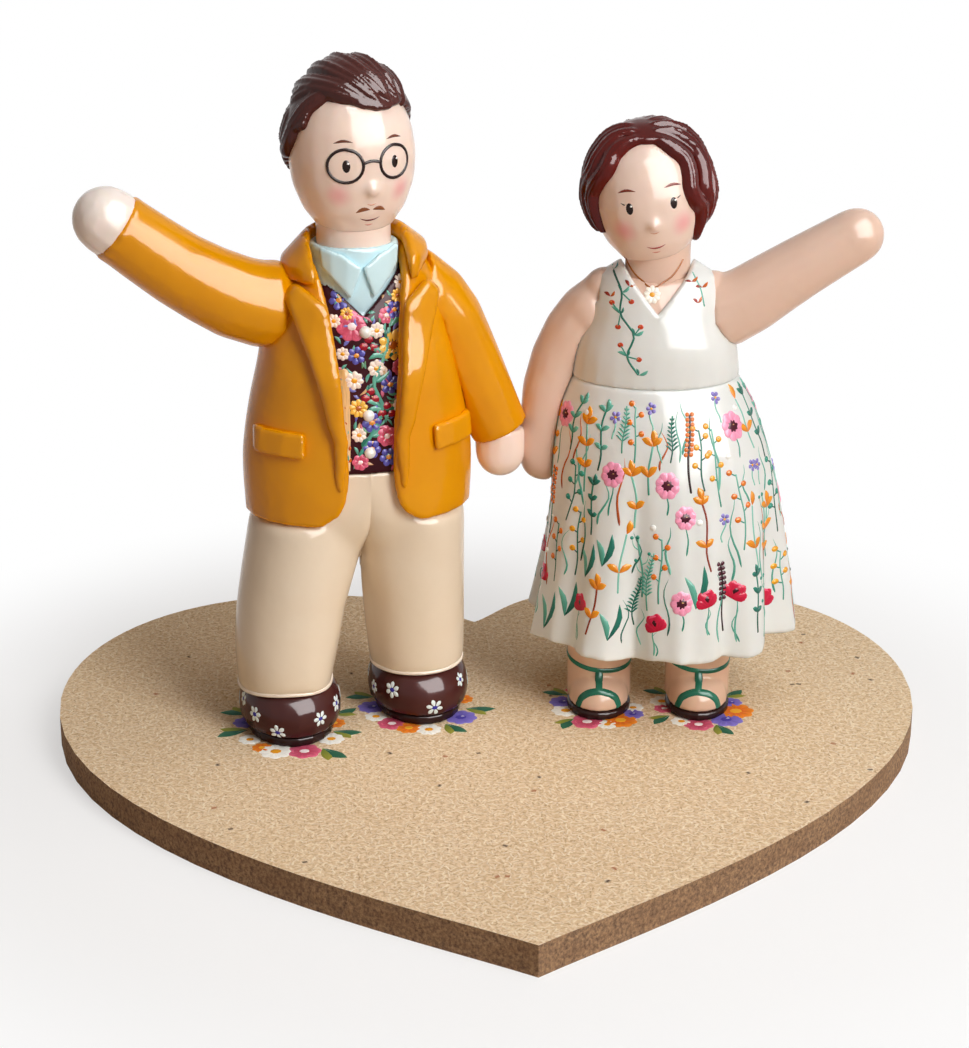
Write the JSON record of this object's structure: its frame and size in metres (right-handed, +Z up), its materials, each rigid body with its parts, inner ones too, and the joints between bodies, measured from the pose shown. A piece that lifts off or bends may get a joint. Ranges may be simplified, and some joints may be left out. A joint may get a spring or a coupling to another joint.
{
  "type": "wedding couple figurine",
  "caption": "Glazed clay groom and bride, hand in hand with their outer arms raised, standing on a flat heart-shaped fibreboard base",
  "frame": {"origin": "middle of the heart-shaped base, on its underside", "axes": "+Z up; the figures face -Y, towards the heart's tip; +X runs across the base to the bride's side"},
  "size_m": [0.172, 0.158, 0.1362],
  "materials": {
    "fibreboard": "raw sawn fibreboard",
    "steel": "drawn wire",
    "sole_clay": "glazed",
    "shoe_clay": "glazed",
    "trouser_clay": "glazed",
    "jacket_clay": "glazed",
    "waistcoat_clay": "glazed",
    "pearl": "pearl",
    "shirt_clay": "glazed",
    "skin_clay": "glazed",
    "groom_hair_clay": "glazed",
    "bride_hair_clay": "glazed",
    "dress_clay": "glazed"
  },
  "bodies": {
    "root": {"heart_base": "fibreboard", "groom_right_sole": "sole_clay", "groom_right_shoe": "shoe_clay", "groom_right_leg_pin": "steel", "groom_left_sole": "sole_clay", "groom_left_shoe": "shoe_clay", "groom_left_leg_pin": "steel", "groom_trousers": "trouser_clay", "groom_shirt": "shirt_clay", "groom_left_shirt_collar_wing": "shirt_clay", "groom_right_shirt_collar_wing": "shirt_clay", "groom_waistcoat": "waistcoat_clay", "groom_waistcoat_button_1": "pearl", "groom_waistcoat_button_2": "pearl", "groom_waistcoat_button_3": "pearl", "groom_jacket": "jacket_clay", "groom_jacket_collar": "jacket_clay", "groom_left_lapel": "jacket_clay", "groom_right_lapel": "jacket_clay", "groom_right_pocket_flap": "jacket_clay", "groom_left_pocket_flap": "jacket_clay", "groom_right_sleeve": "jacket_clay", "groom_left_sleeve": "jacket_clay", "groom_right_hand": "skin_clay", "groom_left_hand": "skin_clay", "groom_neck": "skin_clay", "groom_head": "skin_clay", "groom_hair": "groom_hair_clay", "bride_right_sole": "sole_clay", "bride_right_leg": "skin_clay", "bride_right_leg_pin": "steel", "bride_left_sole": "sole_clay", "bride_left_leg": "skin_clay", "bride_left_leg_pin": "steel", "bride_skirt": "dress_clay", "bride_torso": "skin_clay", "bride_bodice": "dress_clay", "bride_right_arm": "skin_clay", "bride_left_arm": "skin_clay", "bride_neck": "skin_clay", "bride_head": "skin_clay", "bride_hair_cap": "bride_hair_clay", "bride_right_hair_lock": "bride_hair_clay", "bride_left_hair_lock": "bride_hair_clay"}
  },
  "joints": []
}
